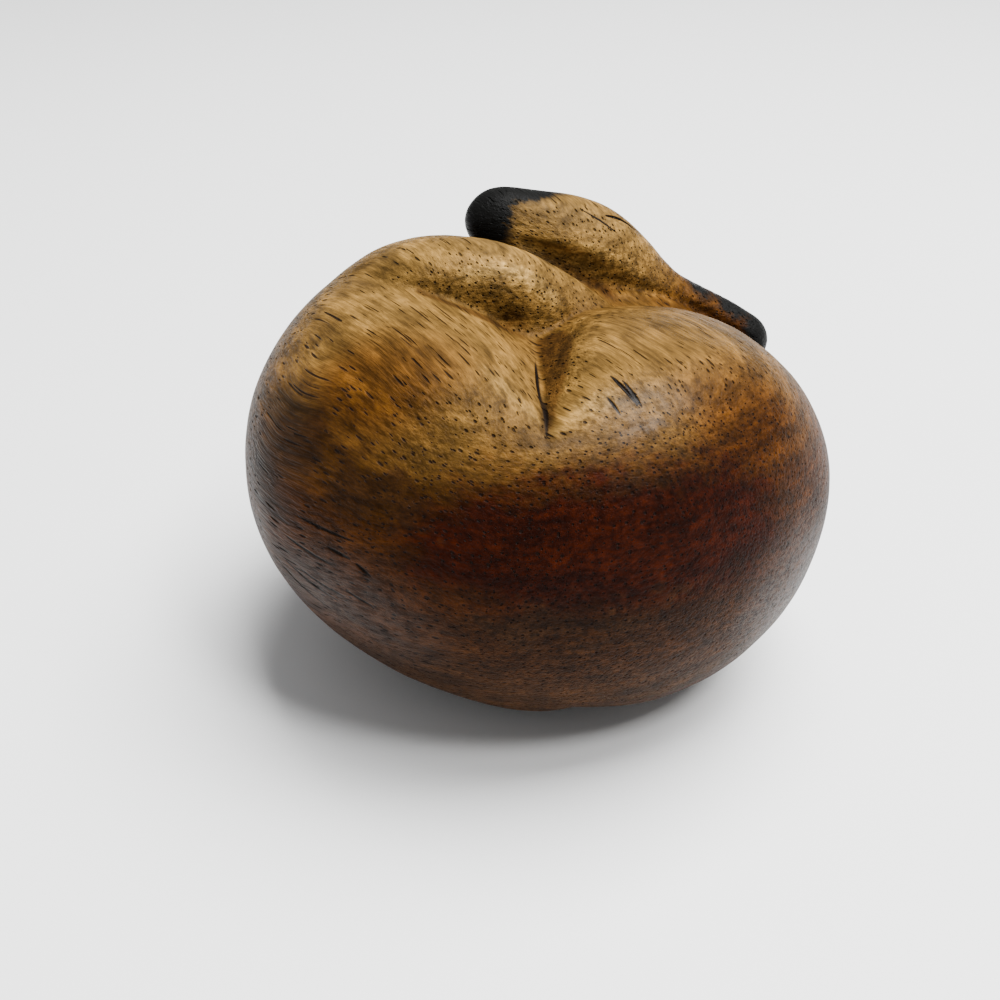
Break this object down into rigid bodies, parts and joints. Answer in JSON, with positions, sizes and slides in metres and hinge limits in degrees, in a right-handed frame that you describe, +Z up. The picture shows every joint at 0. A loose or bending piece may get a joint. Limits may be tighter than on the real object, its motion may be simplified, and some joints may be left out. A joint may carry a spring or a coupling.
{
  "type": "wooden cat figure",
  "caption": "Palm-sized sleeping cat curled into a ball, carved from one block of oiled hardwood, with burnt black ear tips and a flat underside.",
  "frame": {"origin": "on the surface the cat rests on, under the middle of its outline", "axes": "+Z up, +Y from the cat's rump towards the side its face is on, +X to the right when its back is seen from -Y"},
  "size_m": [0.078, 0.0776, 0.0572],
  "materials": {
    "wood": "oiled, satin, with open pores and black burnt ear tips"
  },
  "bodies": {
    "root": {"carved_cat": "wood"}
  },
  "joints": []
}
